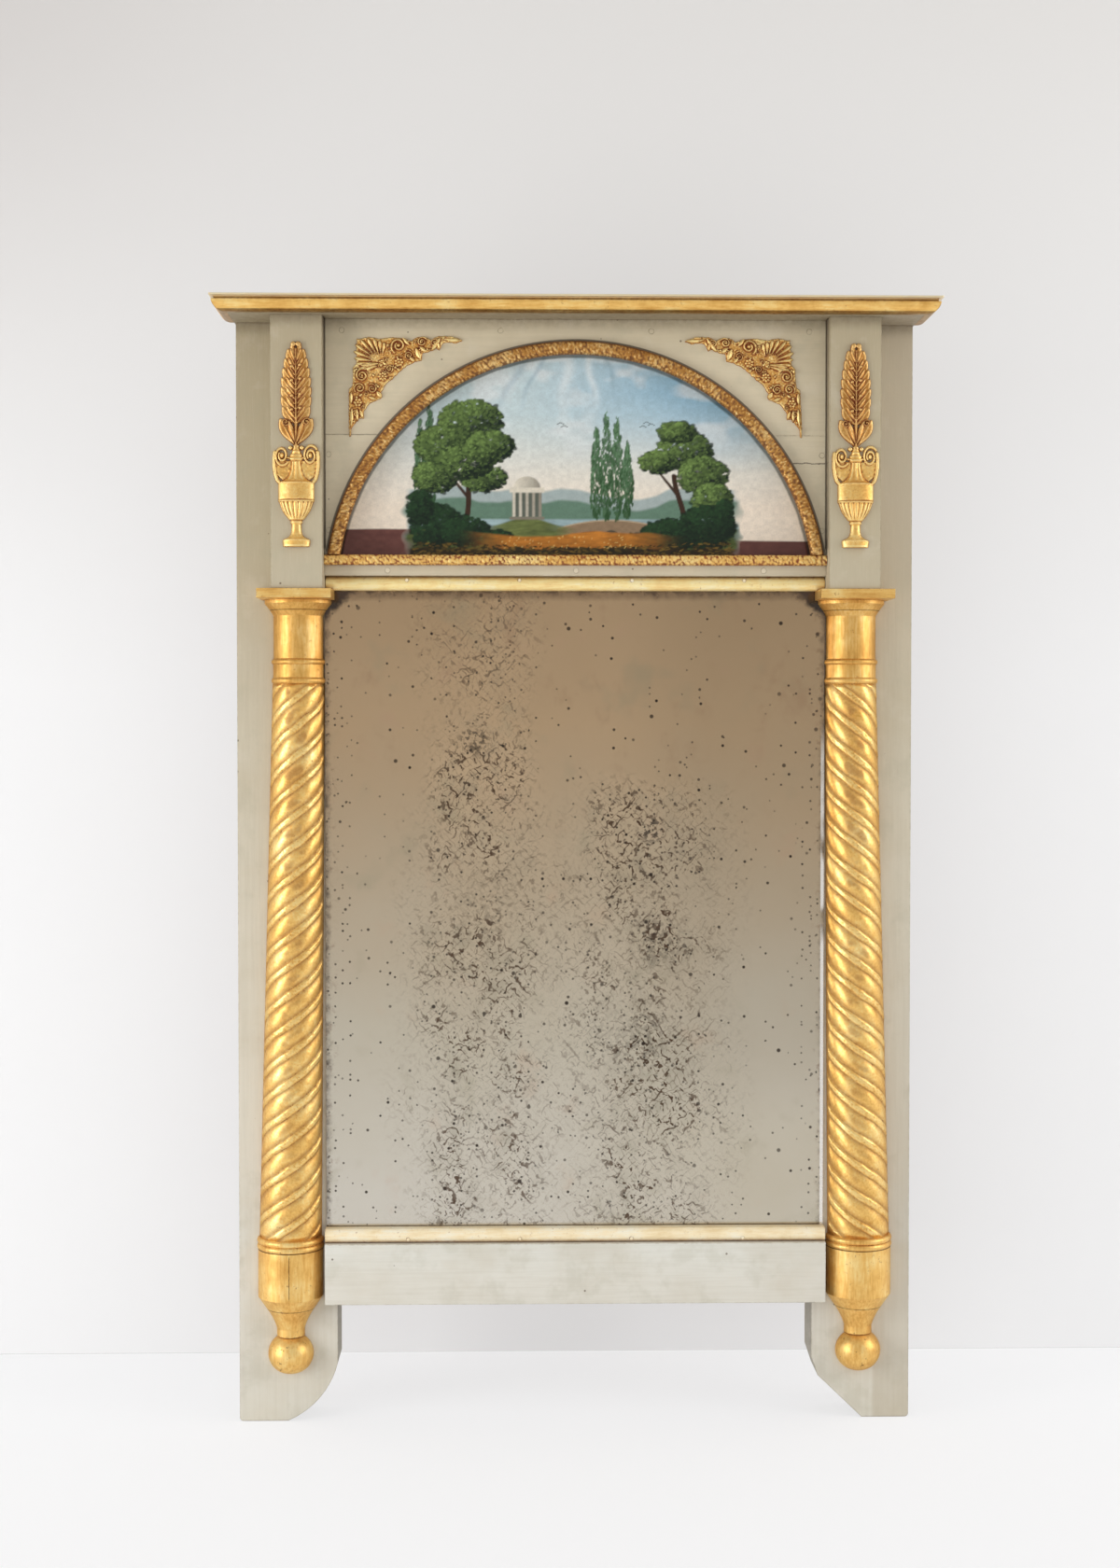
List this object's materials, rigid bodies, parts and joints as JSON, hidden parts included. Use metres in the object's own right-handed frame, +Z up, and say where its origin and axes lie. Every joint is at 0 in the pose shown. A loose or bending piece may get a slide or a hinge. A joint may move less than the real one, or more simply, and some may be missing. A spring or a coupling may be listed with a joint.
{
  "type": "trumeau mirror",
  "caption": "Painted trumeau mirror that stands on its feet against a wall, with an arched picture over the plate, gilded half columns and a moulded cornice.",
  "frame": {"origin": "on the floor, under the middle of the bounding box", "axes": "+Z up, the front of the mirror faces -Y, +X to the right as seen from the front"},
  "size_m": [0.763, 0.131, 1.2],
  "materials": {
    "paint": "aged grey-green paint",
    "gilding": "worn gilding over red bole",
    "composition": "gilded composition in relief",
    "bare_wood": "old unfinished softwood",
    "iron": "dark iron",
    "brass": "dull brass",
    "silvered_plate": "old silvering with foxing",
    "picture_glass": "painted behind"
  },
  "bodies": {
    "root": {"left_post": "paint", "right_post": "paint", "left_pilaster_block": "paint", "right_pilaster_block": "paint", "frieze_top_board": "paint", "frieze_left_cheek": "paint", "frieze_right_cheek": "paint", "frieze_sill": "paint", "bottom_apron": "paint", "cornice_board": "paint", "left_abacus": "gilding", "right_abacus": "gilding", "left_capital": "gilding", "right_capital": "gilding", "left_shaft": "gilding", "right_shaft": "gilding", "left_drum": "gilding", "right_drum": "gilding", "left_finial": "gilding", "right_finial": "gilding", "arch_moulding": "gilding", "arch_base_moulding": "gilding", "mirror_top_moulding": "gilding", "mirror_bottom_moulding": "gilding", "cornice_front_left": "gilding", "cornice_front_right": "gilding", "cornice_left_return": "gilding", "cornice_right_return": "gilding", "left_leaf_spray": "composition", "right_leaf_spray": "composition", "left_urn": "composition", "right_urn": "composition", "left_spandrel_ornament": "composition", "right_spandrel_ornament": "composition", "top_rail": "bare_wood", "middle_rail": "bare_wood", "lower_rail": "bare_wood", "upper_backboard": "bare_wood", "centre_backboard": "bare_wood", "lower_backboard": "bare_wood", "lunette_backing": "bare_wood", "lunette_cleats": "bare_wood", "glue_blocks": "bare_wood", "frame_pegs": "bare_wood", "left_hanger_plate": "iron", "right_hanger_plate": "iron", "hanger_screws": "iron", "block_screws": "iron", "column_screws": "iron", "apron_screws": "iron", "frieze_nails": "iron", "retaining_pins": "brass", "mirror_plate": "silvered_plate", "lunette_glass": "picture_glass"}
  },
  "joints": []
}
